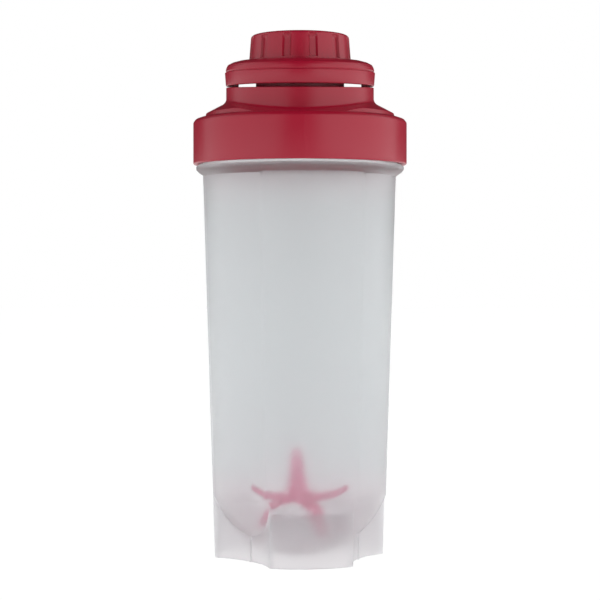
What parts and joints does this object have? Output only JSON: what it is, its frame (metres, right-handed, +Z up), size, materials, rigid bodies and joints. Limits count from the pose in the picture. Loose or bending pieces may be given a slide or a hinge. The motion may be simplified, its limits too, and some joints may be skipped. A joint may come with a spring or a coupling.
{
  "type": "shaker bottle",
  "caption": "Tall tapered frosted cup on three feet, with a threaded lid, a grooved screw cap over the spout, a carry loop that folds up and a loose star-shaped whisk.",
  "frame": {"origin": "on the bottle's axis, at the surface that it stands on", "axes": "+Z up the axis, -Y the front, +Y the loop's hinge side"},
  "size_m": [0.1, 0.1, 0.2443],
  "materials": {
    "frosted_cup": "frosted translucent polypropylene",
    "lid_plastic": "satin crimson polypropylene",
    "loop_plastic": "satin crimson polypropylene",
    "cap_plastic": "satin crimson polypropylene",
    "pin_plastic": "smooth crimson acetal",
    "whisk_plastic": "smooth crimson polypropylene",
    "seal": "soft white silicone"
  },
  "bodies": {
    "cup": {"bottle_cup": "frosted_cup"},
    "gasket": {"lid_gasket": "seal"},
    "lid": {"lid_shell": "lid_plastic", "lid_spout": "lid_plastic", "loop_hinge_pin": "pin_plastic"},
    "loop": {"carry_loop": "loop_plastic"},
    "seal": {"cap_seal": "seal"},
    "cap": {"screw_cap": "cap_plastic"},
    "whisk": {"agitator": "whisk_plastic"}
  },
  "joints": [
    {"name": "lid_rise", "type": "slide", "parent": "cup", "child": "gasket", "axis": [0, 0, 1], "range_m": [0, 0.0101]},
    {"name": "lid_twist", "type": "hinge", "parent": "gasket", "child": "lid", "pos_m": [0, 0, 0.19], "axis": [0, 0, 1], "range_deg": [0, 720]},
    {"name": "cap_rise", "type": "slide", "parent": "lid", "child": "seal", "axis": [0, 0, 1], "range_m": [0, 0.0081]},
    {"name": "cap_twist", "type": "hinge", "parent": "seal", "child": "cap", "pos_m": [0, 0, 0.228], "axis": [0, 0, 1], "range_deg": [0, 720]},
    {"name": "loop_swing", "type": "hinge", "parent": "lid", "child": "loop", "pos_m": [0, 0.0353, 0.2252], "axis": [-1, 0, 0], "range_deg": [0, 100]},
    {"name": "agitator_lift", "type": "slide", "parent": "cup", "child": "whisk", "axis": [0, 0, 1], "range_m": [0, 0.14]}
  ],
  "couplings": [
    {"joint": "lid_rise", "follows": "lid_twist", "m_per_rad": 0.00079577},
    {"joint": "cap_rise", "follows": "cap_twist", "m_per_rad": 0.00063662}
  ]
}
